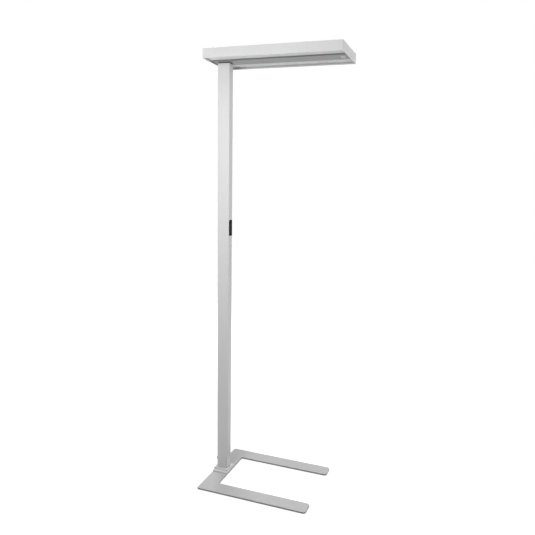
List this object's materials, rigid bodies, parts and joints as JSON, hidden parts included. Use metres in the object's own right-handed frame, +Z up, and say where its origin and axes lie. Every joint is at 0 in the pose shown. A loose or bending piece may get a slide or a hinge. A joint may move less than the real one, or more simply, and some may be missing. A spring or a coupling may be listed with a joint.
{
  "type": "office floor lamp",
  "caption": "Tall floor lamp with a flat rectangular light head cantilevered on a slim rectangular column over a flat U-shaped base plate, with push buttons on the column.",
  "frame": {"origin": "on the floor under the column's axis, at the middle of the pad under the column", "axes": "+Z up; +X along the head and the base's prongs, away from the column; Y across the prongs, -Y at the pictured front"},
  "size_m": [0.6, 0.4, 1.95],
  "materials": {
    "head_silver": "fine silver-grey powder coat",
    "column_silver": "matt natural anodised",
    "base_silver": "fine silver-grey powder coat",
    "strip_grey": "satin mid grey",
    "zinc_steel": "zinc plated sheet",
    "key_aluminium": "mill finish",
    "screw_steel": "zinc plated",
    "black_plastic": "fine moulded grain",
    "button_black": "satin, finer than the bezel",
    "switch_grey": "plain",
    "black_rubber": "matt",
    "opal_acrylic": "fine prismatic texture",
    "clear_acrylic": "clear, polished",
    "white_sheet": "diffuse white",
    "led_board": "white solder mask",
    "board_green": "green solder mask",
    "white_plastic": "plain moulded",
    "driver_white": "plain white can",
    "lead_black": "plain sheath"
  },
  "bodies": {
    "lamp": {"base_plate": "base_silver", "foot_pads": "black_rubber", "base_screws": "screw_steel", "foot_bracket": "base_silver", "column": "column_silver", "cable_inlet": "black_plastic", "inlet_seal": "black_rubber", "inlet_nut": "black_plastic", "supply_lead": "lead_black", "control_lead": "lead_black", "control_housing": "black_plastic", "switch_bodies": "switch_grey", "control_board": "board_green", "status_window": "clear_acrylic", "neck_collar": "black_plastic", "neck_plate": "zinc_steel", "neck_bolts": "screw_steel", "front_rail": "head_silver", "rear_rail": "head_silver", "column_end_rail": "head_silver", "outer_end_rail": "head_silver", "corner_keys": "key_aluminium", "centre_strip": "strip_grey", "spine": "zinc_steel", "gear_tray": "zinc_steel", "tray_screws": "screw_steel", "front_diffuser": "opal_acrylic", "rear_diffuser": "opal_acrylic", "front_reflector": "white_sheet", "rear_reflector": "white_sheet", "direct_led_boards": "led_board", "indirect_led_boards": "led_board", "board_links": "white_plastic", "top_cover": "head_silver", "cover_clips": "zinc_steel", "front_uplight_window": "clear_acrylic", "rear_uplight_window": "clear_acrylic", "terminal_block": "white_plastic", "led_driver": "driver_white", "driver_screws": "screw_steel", "driver_leads": "lead_black", "board_leads": "lead_black", "sensor_lens": "white_plastic", "sensor_module": "white_plastic", "sensor_lead": "lead_black"},
    "brighter": {"brighter_button": "button_black", "brighter_plunger": "switch_grey"},
    "dimmer": {"dimmer_button": "button_black", "dimmer_plunger": "switch_grey"}
  },
  "joints": [
    {"name": "brighter_press", "type": "slide", "parent": "lamp", "child": "brighter", "axis": [-1, 0, 0], "range_m": [0, 0.0008], "stiffness_N_per_m": 1500},
    {"name": "dimmer_press", "type": "slide", "parent": "lamp", "child": "dimmer", "axis": [-1, 0, 0], "range_m": [0, 0.0008], "stiffness_N_per_m": 1500}
  ]
}
